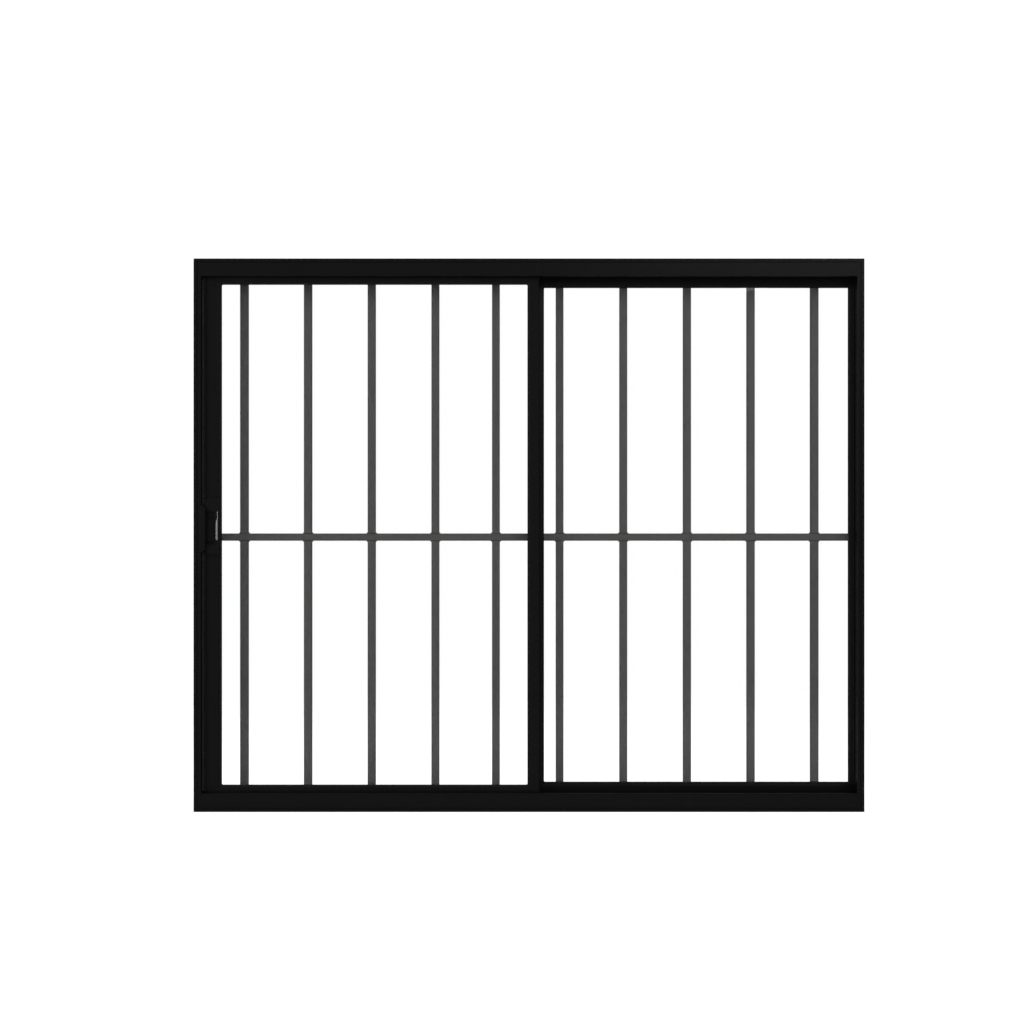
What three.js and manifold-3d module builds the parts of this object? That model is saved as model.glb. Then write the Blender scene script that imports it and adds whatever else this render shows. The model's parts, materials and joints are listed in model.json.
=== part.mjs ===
// A two-light aluminium sliding window with a welded grille of security bars on its outer side.
// The left light is a sash that rolls on the sill in the inner track. The right light is fixed.
//
// Units are millimetres. X runs to the right as seen from the room, Y runs outward through the
// wall, and Z is up. The origin is the centre of the sill's underside.

import * as THREE from 'three';
import { mergeVertices } from 'three/addons/utils/BufferGeometryUtils.js';
import Module from 'manifold-3d';

const wasm = await Module();
wasm.setup();

// ---------------------------------------------------------------- driving dimensions

const WIDTH = 1200;
const HEIGHT = 990;
const DEPTH = 80;
const FRONT = -DEPTH / 2; // face towards the room
const BACK = DEPTH / 2; // face towards the street
const GAP = 0.3; // clearance between pieces that touch

// Outer frame extrusions
const HEAD_FACE = 31.5;
const SILL_FACE = 33.3;
const JAMB_FACE = 13.2;
const REAR_FACE = 20; // height of the head's and sill's rear wall
const JAMB_REAR_FACE = 11.9;
const WEB = 2.2; // wall against the masonry
const WALL = 2;
const FACE_WALL = 2.4; // room-side wall, thick enough for the rim's groove
const RETURN_LIP = 4; // inward turn at the edge of the room-side face
const RIM = 5.8; // rim round the room-side face, marked off by a groove
const RIM_GROOVE = 1.7;
const RIM_GROOVE_DEPTH = 1.8;
const RIM_MITRE = RIM + RIM_GROOVE / 2; // corners are mitred as far in as the groove
const EDGE = 0.8; // chamfer on outer edges
const JAMB_FINS = [-24.75, -9.25]; // centres of the fins that carry the jambs' brush seals
const JAMB_FIN_HALF = 0.75;
const JAMB_FIN_HEIGHT = 13;
const JAMB_POCKET_HEIGHT = 10;
const WEEP_X = 360; // drain slots through the sill's ribs and rear wall
const WEEP_HALF = 14;
const WEEP_BOTTOM = 2.6;
const WEEP_TOP = 6.6;

// Tracks
const TRACK_Y = -17; // centre of the sash and of its rail
const TRACK_TOP = 9.4;
const TRACK_HALF = 0.8;
const GUIDE_DROP = 24; // how far the head's guide fin hangs down
const GUIDE_HALF = 1;
const POCKET_FRONT = -1.5; // the pocket that holds the fixed light
const POCKET_BACK = 22.5;
const POCKET_WALL = 1.8;
const POCKET_HEIGHT = 20;
const FLUTE_Y = -31.2; // screw flutes in head and sill
const FLUTE_HALF = 2.3;
const FLUTE_WALL = 1.5;
const FLUTE_HEIGHT = 9.5;
const FLUTE_CENTRE = 6.5;

// Sash and fixed-light extrusions
const SASH_FRONT = -28;
const SASH_BACK = -6;
const FIXED_FRONT = 1;
const FIXED_BACK = 20;
const MEMBER_WALL = 1.8;
const GLAZING_LIP = 3.2;
const GLAZING_DEPTH = 7;
const GLASS_THICKNESS = 4;
const GLASS_BITE = 4.5; // glass edge hidden behind the lips
const GASKET_SHOW = 2; // gasket seen beyond the lips
const GASKET_CORNER = 2;
const BEVEL_WIDTH = 5.5;
const BEVEL_DROP = 2;
const PORT_DEPTH = 4.2; // screw port on a rail's floor
const PORT_HALF = 2.3;
const PORT_WALL = 1.5;
const FINE_GROOVE = 1.2; // shadow line along the handle stile
const FINE_GROOVE_DEPTH = 0.8;
const FINE_GROOVE_INSET = 4.6;
const HOOK_WALL = 1.8; // interlocking hooks of the meeting stiles
const HOOK_REACH = 5.2;
const HOOK_LIP = 1;
const SASH_HOOK = 4; // how far each hook stands off its stile
const FIXED_HOOK = 6;
const MIN_HOLLOW = 3; // a narrower member is left solid

// Openings between the glazing lips
const SASH_LIP_BOTTOM = 42;
const SASH_LIP_TOP = 950;
const SASH_LIP_LEFT = -557.4;
const SASH_LIP_RIGHT = -0.8;
const FIXED_LIP_LEFT = 25.3;
const FIXED_LIP_RIGHT = 586.5;
const FIXED_LIP_BOTTOM = 42.7;
const FIXED_LIP_TOP = 948.7;
const HANDLE_STILE = 24.6; // widths from lip tip to outer edge
const MEETING_STILE = 18.5;
const FIXED_JAMB_STILE = 9;
const SASH_BOTTOM_RAIL = 30.5;
const SASH_TOP_RAIL = 26;
const FIXED_BOTTOM_RAIL = 40.2;
const FIXED_TOP_RAIL = 27.3;

// Security grille
const BAR_COUNT = 10;
const BARS_FROM_LEFT = 4; // set out from the left jamb, and the others from the right one
const FIRST_BAR = -523;
const LAST_BAR = 524.2;
const BAR_PITCH = 117;
const BAR_SIZE = 14.2;
const BAR_WALL = 1.5;
const BAR_CORNER = 2;
const CROSSBAR_HEIGHT = 13.5;
const CROSSBAR_Z = 491.6;
const GRILLE_Y = 30.7;
const GRILLE_RAIL = 14;
const GRILLE_RAIL_Z = 12; // centre above the sill's underside, and below the head's top
const GRILLE_HALF_LENGTH = 585;
const CROSSBAR_HALF_LENGTH = 596;
const GRILLE_SCREW_X = 450;

// Rollers
const ROLLER_X = [-490, -66];
const WHEEL_ROOT = 7; // running radius in the groove
const WHEEL_RIM = 9.3;
const WHEEL_WIDTH = 7;
const WHEEL_EDGE = 0.5; // chamfer of the flanges
const FLANGE = 1.2; // width of a flange's rim
const GROOVE_HALF = 1.3; // half width of the groove's floor
const WHEEL_PLAY = 0.6; // round the wheel in its carriage
const WHEEL_Z = TRACK_TOP + 0.2 + WHEEL_ROOT;
const AXLE_RADIUS = 2;
const WHEEL_BORE = 2.1;
const CARRIAGE_LENGTH = 54;
const CARRIAGE_TOP = SASH_LIP_BOTTOM - GLAZING_DEPTH - MEMBER_WALL - PORT_DEPTH - GAP;
const CARRIAGE_BOTTOM = 12.5;

// Latch
const LATCH_LEFT = -582;
const LATCH_RIGHT = -557;
const LATCH_BOTTOM = 460;
const LATCH_TOP = 563;
const LATCH_FRONT = -33.5;
const SLOT_LEFT = -578;
const SLOT_RIGHT = -564;
const SLOT_BOTTOM = 478;
const SLOT_TOP = 538;
const GRIP_BOTTOM = 484.7;
const GRIP_TOP = 524;
const LATCH_TRAVEL = 11;
const HOOK_BOTTOM = 497; // underside of the hook's arm, unlocked
const HOOK_ARM = 6;
const HOOK_NOSE = 15;
const HOOK_TIP = -594.5;
const HOOK_HALF = 1.5;
const STRIKE_LEFT = -590;
const STRIKE_RIGHT = -588;
const STRIKE_SLOT_BOTTOM = 495;
const STRIKE_SLOT_TOP = 515;
const KEEPER_BOTTOM = 465;
const KEEPER_TOP = 548;
const KEEPER_LEFT = -591.5;
const KEEPER_RIGHT = -579.5; // laps over the latch case's edge
const KEEPER_SCREW_Z = 532;

// ---------------------------------------------------------------- finishes

const finish = (color, roughness, metalness) => () =>
  new THREE.MeshStandardMaterial({ color, roughness, metalness });
const blackCoat = finish(0x191817, 0.5, 0.1);
const grilleCoat = finish(0x464646, 0.55, 0.1);
const rubber = finish(0x0c0c0c, 0.8, 0);
const nylon = finish(0x161616, 0.55, 0);
const pile = finish(0x141414, 0.95, 0);
const steel = finish(0x8d8f92, 0.35, 0.9);
const blackSteel = finish(0x212121, 0.45, 0.8);
const brightSteel = finish(0xe4e5e6, 0.2, 0.95);
const clearGlass = () =>
  new THREE.MeshStandardMaterial({
    color: 0xf4faf8,
    roughness: 0.03,
    metalness: 0,
    transparent: true,
    opacity: 0.2,
  });

// ---------------------------------------------------------------- shape helpers

const window_ = new THREE.Group();

function addPiece(name, geometry, material) {
  geometry.computeVertexNormals();
  const mesh = new THREE.Mesh(geometry, material());
  mesh.name = name;
  window_.add(mesh);
  return mesh;
}

// An outline extruded along an axis. The outline's pairs are [y, z] along X, [x, z] along Y and
// [x, y] along Z.
function prism(axis, outline, from, to) {
  const shape = new THREE.Shape(outline.map(([a, b]) => new THREE.Vector2(a, b)));
  const geometry = new THREE.ExtrudeGeometry(shape, { depth: to - from, bevelEnabled: false });
  const matrix = new THREE.Matrix4();
  const x = new THREE.Vector3(1, 0, 0);
  const y = new THREE.Vector3(0, 1, 0);
  const z = new THREE.Vector3(0, 0, 1);
  if (axis === 'x') matrix.makeBasis(y, z, x).setPosition(from, 0, 0);
  if (axis === 'y') matrix.makeBasis(x, z, y.clone().negate()).setPosition(0, to, 0);
  if (axis === 'z') matrix.setPosition(0, 0, from);
  return geometry.applyMatrix4(matrix);
}

function box(x0, x1, y0, y1, z0, z1) {
  const geometry = new THREE.BoxGeometry(x1 - x0, y1 - y0, z1 - z0);
  return geometry.translate((x0 + x1) / 2, (y0 + y1) / 2, (z0 + z1) / 2);
}

// A profile of [radius, height] pairs turned about Y. It runs down the outside, from high to low.
function turned(profile, segments = 24) {
  const upward = profile.map(([r, h]) => new THREE.Vector2(r, h)).reverse();
  return new THREE.LatheGeometry(upward, segments);
}

function cylinder(axis, radius, from, to, centre, segments = 20) {
  const geometry = new THREE.CylinderGeometry(radius, radius, to - from, segments);
  const middle = (from + to) / 2;
  if (axis === 'x') return geometry.rotateZ(Math.PI / 2).translate(middle, centre[0], centre[1]);
  return geometry.translate(centre[0], middle, centre[1]);
}

// A rectangle with rounded corners, as [a, b] pairs.
function roundedRectangle(a0, b0, a1, b1, radius, steps = 3) {
  const centres = [
    [a1 - radius, b1 - radius],
    [a0 + radius, b1 - radius],
    [a0 + radius, b0 + radius],
    [a1 - radius, b0 + radius],
  ];
  return centres.flatMap(([a, b], corner) =>
    Array.from({ length: steps + 1 }, (_, step) => {
      const angle = ((corner + step / steps) * Math.PI) / 2;
      return [a + radius * Math.cos(angle), b + radius * Math.sin(angle)];
    }),
  );
}

function rectangle(a0, b0, a1, b1) {
  return [[a0, b0], [a1, b0], [a1, b1], [a0, b1]];
}

function solidOf(geometry) {
  const bare = geometry.clone();
  bare.deleteAttribute('normal');
  bare.deleteAttribute('uv');
  const merged = mergeVertices(bare, 1e-4);
  return new wasm.Manifold(
    new wasm.Mesh({
      numProp: 3,
      vertProperties: new Float32Array(merged.attributes.position.array),
      triVerts: new Uint32Array(merged.index.array),
    }),
  );
}

function geometryOf(solid) {
  const mesh = solid.getMesh();
  const geometry = new THREE.BufferGeometry();
  geometry.setAttribute('position', new THREE.BufferAttribute(mesh.vertProperties, 3));
  geometry.setIndex(new THREE.BufferAttribute(mesh.triVerts, 1));
  return geometry;
}

const cut = (geometry, ...tools) =>
  geometryOf(tools.reduce((solid, tool) => solid.subtract(solidOf(tool)), solidOf(geometry)));
const join = (geometry, ...others) =>
  geometryOf(others.reduce((solid, other) => solid.add(solidOf(other)), solidOf(geometry)));
const keepInside = (geometry, region) => geometryOf(solidOf(geometry).intersect(solidOf(region)));

// A prism with a hollow that is open at both ends. Without a hollow it is solid.
function tube(axis, outline, hollow, from, to) {
  const bar = prism(axis, outline, from, to);
  return hollow ? cut(bar, prism(axis, hollow, from - 1, to + 1)) : bar;
}

// ---------------------------------------------------------------- fasteners

const CROSS_WIDTH = 0.9;
const CROSS_DEPTH = 1;
const COUNTERSUNK = { head: 3.7, shank: 2, headHeight: 1.9 };
const PAN = { head: 3.6, shank: 2, headHeight: 2.2 };

// Screws are made with the head at the origin and the tip along +Y, then turned and placed.
function place(geometry, direction, position) {
  const target = new THREE.Vector3(...direction);
  const turn = new THREE.Quaternion().setFromUnitVectors(new THREE.Vector3(0, 1, 0), target);
  return geometry.applyQuaternion(turn).translate(...position);
}

function withCross(geometry, top, width) {
  const reach = width * 0.62;
  const floor = top + CROSS_DEPTH;
  return cut(
    geometry,
    box(-reach, reach, top - 1, floor, -CROSS_WIDTH / 2, CROSS_WIDTH / 2),
    box(-CROSS_WIDTH / 2, CROSS_WIDTH / 2, top - 1, floor, -reach, reach),
  );
}

function countersunkScrew(length, direction, position) {
  const { head, shank, headHeight } = COUNTERSUNK;
  const profile = [[0, length], [shank, length - 2], [shank, headHeight], [head, 0], [0, 0]];
  return place(withCross(turned(profile, 16), 0, head), direction, position);
}

function countersunkHole(length, direction, position) {
  const { head, shank, headHeight } = COUNTERSUNK;
  const profile = [
    [0, length],
    [shank + GAP, length],
    [shank + GAP, headHeight],
    [head + GAP, 0],
    [head + GAP, -1],
    [0, -1],
  ];
  return place(turned(profile, 16), direction, position);
}

function panScrew(length, direction, position) {
  const { head, shank, headHeight } = PAN;
  const profile = [
    [0, length],
    [shank, length - 2],
    [shank, 0],
    [head, 0],
    [head, -headHeight * 0.5],
    [head * 0.65, -headHeight],
    [0, -headHeight],
  ];
  return place(withCross(turned(profile, 16), -headHeight, head), direction, position);
}

// ---------------------------------------------------------------- outer frame

// A frame member's section as [inward, y] pairs, inward from the window's outer edge. Each rib is
// [y0, y1, height], in order from the room side.
function frameSection(face, rear, ribs) {
  return [
    [0, BACK - EDGE],
    [0, FRONT + EDGE],
    [EDGE, FRONT],
    [RIM, FRONT],
    [RIM, FRONT + RIM_GROOVE_DEPTH],
    [RIM + RIM_GROOVE, FRONT + RIM_GROOVE_DEPTH],
    [RIM + RIM_GROOVE, FRONT],
    [face, FRONT],
    [face, FRONT + RETURN_LIP],
    [face - WALL, FRONT + RETURN_LIP],
    [face - WALL, FRONT + FACE_WALL],
    [WEB, FRONT + FACE_WALL],
    ...ribs.flatMap(([y0, y1, height]) => [[WEB, y0], [height, y0], [height, y1], [WEB, y1]]),
    [WEB, BACK - WALL],
    [rear, BACK - WALL],
    [rear, BACK],
    [EDGE, BACK],
  ];
}

const pocketRibs = (height) => [
  [POCKET_FRONT, POCKET_FRONT + POCKET_WALL, height],
  [POCKET_BACK - POCKET_WALL, POCKET_BACK, height],
];
const fluteRibs = [
  [FLUTE_Y - FLUTE_HALF - FLUTE_WALL, FLUTE_Y - FLUTE_HALF, FLUTE_HEIGHT],
  [FLUTE_Y + FLUTE_HALF, FLUTE_Y + FLUTE_HALF + FLUTE_WALL, FLUTE_HEIGHT],
];

// The head's or sill's outline in the front view: mitred through the rim, butted between the jambs.
function endFootprint(outer, inner) {
  const rim = outer + Math.sign(inner - outer) * RIM_MITRE;
  const side = WIDTH / 2;
  const butt = side - JAMB_FACE - GAP;
  return [
    [-side, outer],
    [-side + RIM_MITRE, rim],
    [-butt, rim],
    [-butt, inner],
    [butt, inner],
    [butt, rim],
    [side - RIM_MITRE, rim],
    [side, outer],
  ];
}

const headFootprint = endFootprint(HEIGHT, HEIGHT - HEAD_FACE - 1);
const sillFootprint = endFootprint(0, SILL_FACE + 1);

function frameHead() {
  const guide = [TRACK_Y - GUIDE_HALF, TRACK_Y + GUIDE_HALF, GUIDE_DROP];
  const section = frameSection(HEAD_FACE, REAR_FACE, [
    ...fluteRibs,
    guide,
    ...pocketRibs(POCKET_HEIGHT),
  ]);
  const outline = section.map(([inward, y]) => [y, HEIGHT - inward]);
  const bar = prism('x', outline, -WIDTH / 2, WIDTH / 2);
  const member = keepInside(bar, prism('y', headFootprint, FRONT - 1, BACK + 1));
  return cut(member, ...grilleScrewHoles(HEIGHT - GRILLE_RAIL_Z));
}

function frameSill() {
  const track = [TRACK_Y - TRACK_HALF, TRACK_Y + TRACK_HALF, TRACK_TOP];
  const section = frameSection(SILL_FACE, REAR_FACE, [
    ...fluteRibs,
    track,
    ...pocketRibs(POCKET_HEIGHT),
  ]);
  const outline = section.map(([inward, y]) => [y, inward]);
  const bar = prism('x', outline, -WIDTH / 2, WIDTH / 2);
  const member = keepInside(bar, prism('y', sillFootprint, FRONT - 1, BACK + 1));
  const weeps = [-WEEP_X, WEEP_X].map((x) =>
    box(x - WEEP_HALF, x + WEEP_HALF, POCKET_FRONT - 1, BACK + 1, WEEP_BOTTOM, WEEP_TOP),
  );
  return cut(member, ...weeps, ...grilleScrewHoles(GRILLE_RAIL_Z));
}

const cornerScrewHeights = [FLUTE_CENTRE, HEIGHT - FLUTE_CENTRE];
const CORNER_SCREW_LENGTH = 36;
const CORNER_HOLE_DEPTH = 30;

function frameJamb(side) {
  const fins = JAMB_FINS.map((y) => [y - JAMB_FIN_HALF, y + JAMB_FIN_HALF, JAMB_FIN_HEIGHT]);
  const ribs = [...fins, ...pocketRibs(JAMB_POCKET_HEIGHT)];
  const section = frameSection(JAMB_FACE, JAMB_REAR_FACE, ribs);
  const outline = section.map(([inward, y]) => [side * (WIDTH / 2 - inward), y]);
  const bar = prism('z', outline, GAP, HEIGHT - GAP);
  const headSpace = prism('y', headFootprint, FRONT - 1, BACK + 1).translate(0, 0, -GAP);
  const sillSpace = prism('y', sillFootprint, FRONT - 1, BACK + 1).translate(0, 0, GAP);
  const holes = cornerScrewHeights.map((z) =>
    countersunkHole(CORNER_HOLE_DEPTH, [-side, 0, 0], [(side * WIDTH) / 2, FLUTE_Y, z]),
  );
  return cut(bar, headSpace, sillSpace, ...holes);
}

// ---------------------------------------------------------------- sash and fixed light

// A glazed member's section as [outward, y] pairs, outward from the tip of its glazing lips.
// "open" makes a channel with a screw port on its floor, and otherwise the member has plain sides.
function memberSection({ width, front, back, open, fineGroove, hookBehind, hookInFront }) {
  const floor = GLAZING_DEPTH + MEMBER_WALL;
  const middle = (front + back) / 2;
  const port = (side) => {
    const near = middle + side * PORT_HALF;
    const far = near + side * PORT_WALL;
    const low = Math.min(near, far);
    const high = Math.max(near, far);
    return [[floor, low], [floor + PORT_DEPTH, low], [floor + PORT_DEPTH, high], [floor, high]];
  };
  const points = [[0, front + BEVEL_DROP], [BEVEL_WIDTH, front]];
  if (fineGroove) {
    const start = width - FINE_GROOVE_INSET;
    const end = start + FINE_GROOVE;
    const depth = front + FINE_GROOVE_DEPTH;
    points.push([start, front], [start, depth], [end, depth], [end, front]);
  }
  if (hookInFront) {
    points.push(
      [width - HOOK_WALL, front],
      [width - HOOK_WALL, front - FIXED_HOOK + HOOK_LIP],
      [width - HOOK_WALL - HOOK_REACH, front - FIXED_HOOK + HOOK_LIP],
      [width - HOOK_WALL - HOOK_REACH, front - FIXED_HOOK],
      [width, front - FIXED_HOOK],
    );
  } else {
    points.push([width, front]);
  }
  if (open) {
    points.push(
      [width, front + MEMBER_WALL],
      [floor, front + MEMBER_WALL],
      ...port(-1),
      ...port(1),
      [floor, back - MEMBER_WALL],
      [width, back - MEMBER_WALL],
    );
  }
  if (hookBehind) {
    points.push(
      [width, back + SASH_HOOK],
      [width - HOOK_WALL - HOOK_REACH, back + SASH_HOOK],
      [width - HOOK_WALL - HOOK_REACH, back + SASH_HOOK - HOOK_LIP],
      [width - HOOK_WALL, back + SASH_HOOK - HOOK_LIP],
      [width - HOOK_WALL, back],
    );
  } else {
    points.push([width, back]);
  }
  points.push(
    [0, back],
    [0, back - GLAZING_LIP],
    [GLAZING_DEPTH, back - GLAZING_LIP],
    [GLAZING_DEPTH, front + GLAZING_LIP],
    [0, front + GLAZING_LIP],
  );
  return points;
}

// The hollow inside a member, where it is wide enough to have one.
function memberHollow({ width, front, back, open }) {
  const inner = GLAZING_DEPTH + MEMBER_WALL;
  const outer = width - MEMBER_WALL;
  if (open || outer - inner < MIN_HOLLOW) return null;
  return rectangle(inner, front + MEMBER_WALL, outer, back - MEMBER_WALL);
}

// A light's outline of the top or bottom rail in the front view, mitred through the glazing lips.
function railFootprint(light, lip, outer) {
  const end = lip + Math.sign(outer - lip) * GLAZING_DEPTH;
  return [
    [light.left - GLAZING_DEPTH, end],
    [light.left, lip],
    [light.right, lip],
    [light.right + GLAZING_DEPTH, end],
    [light.right + GLAZING_DEPTH, outer],
    [light.left - GLAZING_DEPTH, outer],
  ];
}

const MITRE_GAP = GAP * Math.SQRT2;

function stileOf(light, member, side) {
  const lip = side < 0 ? light.left : light.right;
  const place2d = (points) => points.map(([outward, y]) => [lip + side * outward, y]);
  const hollow = memberHollow(member);
  const bottom = light.bottom - light.rails.bottom.width;
  const top = light.top + light.rails.top.width;
  const outline = place2d(memberSection(member));
  const bar = tube('z', outline, hollow && place2d(hollow), bottom, top);
  const topSpace = prism('y', railFootprint(light, light.top, top + 1), FRONT, BACK);
  const bottomSpace = prism('y', railFootprint(light, light.bottom, bottom - 1), FRONT, BACK);
  return cut(bar, topSpace.translate(0, 0, -MITRE_GAP), bottomSpace.translate(0, 0, MITRE_GAP));
}

function railOf(light, member, side) {
  const lip = side < 0 ? light.bottom : light.top;
  const place2d = (points) => points.map(([outward, y]) => [y, lip + side * outward]);
  const hollow = memberHollow(member);
  const from = light.left - GLAZING_DEPTH + GAP;
  const to = light.right + GLAZING_DEPTH - GAP;
  const bar = tube('x', place2d(memberSection(member)), hollow && place2d(hollow), from, to);
  const footprint = railFootprint(light, lip, lip + side * (member.width + 1));
  return keepInside(bar, prism('y', footprint, FRONT, BACK));
}

function glassOf(light) {
  const middle = (light.front + light.back) / 2;
  return box(
    light.left - GLASS_BITE,
    light.right + GLASS_BITE,
    middle - GLASS_THICKNESS / 2,
    middle + GLASS_THICKNESS / 2,
    light.bottom - GLASS_BITE,
    light.top + GLASS_BITE,
  );
}

function gasketOf(light) {
  const reach = GLAZING_DEPTH - GAP;
  const { left, right, bottom, top, front, back } = light;
  const outer = rectangle(left - reach, bottom - reach, right + reach, top + reach);
  const inner = roundedRectangle(
    left + GASKET_SHOW,
    bottom + GASKET_SHOW,
    right - GASKET_SHOW,
    top - GASKET_SHOW,
    GASKET_CORNER,
  );
  const ring = tube('y', outer, inner, front + GLAZING_LIP + GAP, back - GLAZING_LIP - GAP);
  const middle = (front + back) / 2;
  const half = GLASS_THICKNESS / 2 + GAP;
  const bite = GLASS_BITE + GAP;
  return cut(
    ring,
    box(left - bite, right + bite, middle - half, middle + half, bottom - bite, top + bite),
  );
}

const sash = {
  front: SASH_FRONT,
  back: SASH_BACK,
  left: SASH_LIP_LEFT,
  right: SASH_LIP_RIGHT,
  bottom: SASH_LIP_BOTTOM,
  top: SASH_LIP_TOP,
};
const sashMember = (extra) => ({ front: SASH_FRONT, back: SASH_BACK, ...extra });
sash.rails = {
  top: sashMember({ width: SASH_TOP_RAIL, open: true }),
  bottom: sashMember({ width: SASH_BOTTOM_RAIL, open: true }),
};

const fixedLight = {
  front: FIXED_FRONT,
  back: FIXED_BACK,
  left: FIXED_LIP_LEFT,
  right: FIXED_LIP_RIGHT,
  bottom: FIXED_LIP_BOTTOM,
  top: FIXED_LIP_TOP,
};
const fixedMember = (extra) => ({ front: FIXED_FRONT, back: FIXED_BACK, ...extra });
fixedLight.rails = {
  top: fixedMember({ width: FIXED_TOP_RAIL }),
  bottom: fixedMember({ width: FIXED_BOTTOM_RAIL }),
};

const portOffset = GLAZING_DEPTH + MEMBER_WALL + PORT_DEPTH / 2;
const sashScrewHeights = [SASH_LIP_BOTTOM - portOffset, SASH_LIP_TOP + portOffset];
const SASH_SCREW_LENGTH = 45;
const GUIDE_NOTCH_HALF = 3;
const GUIDE_CLEARANCE = 2; // under the guide fin's edge

// Both stiles are notched for the head's guide fin and bored for the corner screws.
function sashStile(member, side) {
  const lip = side < 0 ? sash.left : sash.right;
  const outer = lip + side * member.width;
  const from = Math.min(lip, outer) - GLAZING_DEPTH;
  const to = Math.max(lip, outer) + GLAZING_DEPTH;
  const notch = box(
    from,
    to,
    TRACK_Y - GUIDE_NOTCH_HALF,
    TRACK_Y + GUIDE_NOTCH_HALF,
    HEIGHT - GUIDE_DROP - GUIDE_CLEARANCE,
    HEIGHT,
  );
  const bores = sashScrewHeights.map((z) =>
    cylinder('x', PAN.shank + GAP, from, to, [TRACK_Y, z], 16),
  );
  return cut(stileOf(sash, member, side), notch, ...bores);
}

function sashHandleStile() {
  const stile = sashStile(sashMember({ width: HANDLE_STILE, fineGroove: true }), -1);
  const outer = SASH_LIP_LEFT - HANDLE_STILE;
  const front = SASH_FRONT - 1;
  const behindWall = SASH_FRONT + MEMBER_WALL + 1;
  const hookWindow = box(
    outer - 1,
    outer + MEMBER_WALL + 1,
    TRACK_Y - HOOK_HALF - HOOK_PLAY,
    TRACK_Y + HOOK_HALF + HOOK_PLAY,
    HOOK_BOTTOM - NECK_PLAY,
    HOOK_BOTTOM + HOOK_NOSE + LATCH_TRAVEL + NECK_PLAY,
  );
  const neckWindow = box(
    NECK_LEFT - NECK_PLAY,
    NECK_RIGHT + NECK_PLAY,
    front,
    behindWall,
    NECK_BOTTOM - NECK_PLAY,
    NECK_TOP + LATCH_TRAVEL + NECK_PLAY,
  );
  const screwHoles = latchScrewHeights.map((z) =>
    cylinder('y', COUNTERSUNK.shank + GAP, front, behindWall, [LATCH_SCREW_X, z], 16),
  );
  return cut(stile, hookWindow, neckWindow, ...screwHoles);
}

// The fixed meeting stile's hook stops short of the frame's pocket walls.
function fixedMeetingStile() {
  const member = fixedMember({ width: MEETING_STILE, hookInFront: true });
  const stile = stileOf(fixedLight, member, -1);
  const left = FIXED_LIP_LEFT - MEETING_STILE - 1;
  const clear = POCKET_HEIGHT + 1.5;
  const hookZone = [left, FIXED_LIP_LEFT, FIXED_FRONT - FIXED_HOOK - 1, FIXED_FRONT - 0.1];
  return cut(stile, box(...hookZone, 0, clear), box(...hookZone, HEIGHT - clear, HEIGHT));
}

// ---------------------------------------------------------------- security grille

function barCentre(index) {
  if (index < BARS_FROM_LEFT) return FIRST_BAR + index * BAR_PITCH;
  return LAST_BAR - (BAR_COUNT - 1 - index) * BAR_PITCH;
}

function squareTube(axis, sizeA, sizeB, centreA, centreB, from, to) {
  const ring = (inset, radius) =>
    roundedRectangle(
      centreA - sizeA / 2 + inset,
      centreB - sizeB / 2 + inset,
      centreA + sizeA / 2 - inset,
      centreB + sizeB / 2 - inset,
      radius,
      2,
    );
  return tube(axis, ring(0, BAR_CORNER), ring(BAR_WALL, BAR_CORNER - BAR_WALL), from, to);
}

// Bars and crossbar are half-lapped where they cross, so their faces lie flush.
function securityBar(index) {
  const x = barCentre(index);
  const end = GRILLE_RAIL_Z + GRILLE_RAIL / 2 + GAP;
  const bar = squareTube('z', BAR_SIZE, BAR_SIZE, x, GRILLE_Y, end, HEIGHT - end);
  const half = CROSSBAR_HEIGHT / 2 + GAP;
  const lap = box(
    x - BAR_SIZE,
    x + BAR_SIZE,
    GRILLE_Y - BAR_SIZE,
    GRILLE_Y + GAP / 2,
    CROSSBAR_Z - half,
    CROSSBAR_Z + half,
  );
  return cut(bar, lap);
}

function securityCrossbar() {
  const length = CROSSBAR_HALF_LENGTH;
  const bar = squareTube('x', BAR_SIZE, CROSSBAR_HEIGHT, GRILLE_Y, CROSSBAR_Z, -length, length);
  const half = BAR_SIZE / 2 + GAP;
  const laps = Array.from({ length: BAR_COUNT }, (_, index) => {
    const x = barCentre(index);
    return box(
      x - half,
      x + half,
      GRILLE_Y - GAP / 2,
      GRILLE_Y + BAR_SIZE,
      CROSSBAR_Z - CROSSBAR_HEIGHT,
      CROSSBAR_Z + CROSSBAR_HEIGHT,
    );
  });
  return cut(bar, ...laps);
}

const GRILLE_SCREW_LENGTH = 12;

function grilleScrewHoles(z) {
  return [-GRILLE_SCREW_X, GRILLE_SCREW_X].map((x) =>
    countersunkHole(GRILLE_SCREW_LENGTH, [0, -1, 0], [x, BACK, z]),
  );
}

function grilleRail(z) {
  const length = GRILLE_HALF_LENGTH;
  const rail = squareTube('x', GRILLE_RAIL, GRILLE_RAIL, GRILLE_Y, z, -length, length);
  return cut(rail, ...grilleScrewHoles(z));
}

// ---------------------------------------------------------------- rollers

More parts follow.
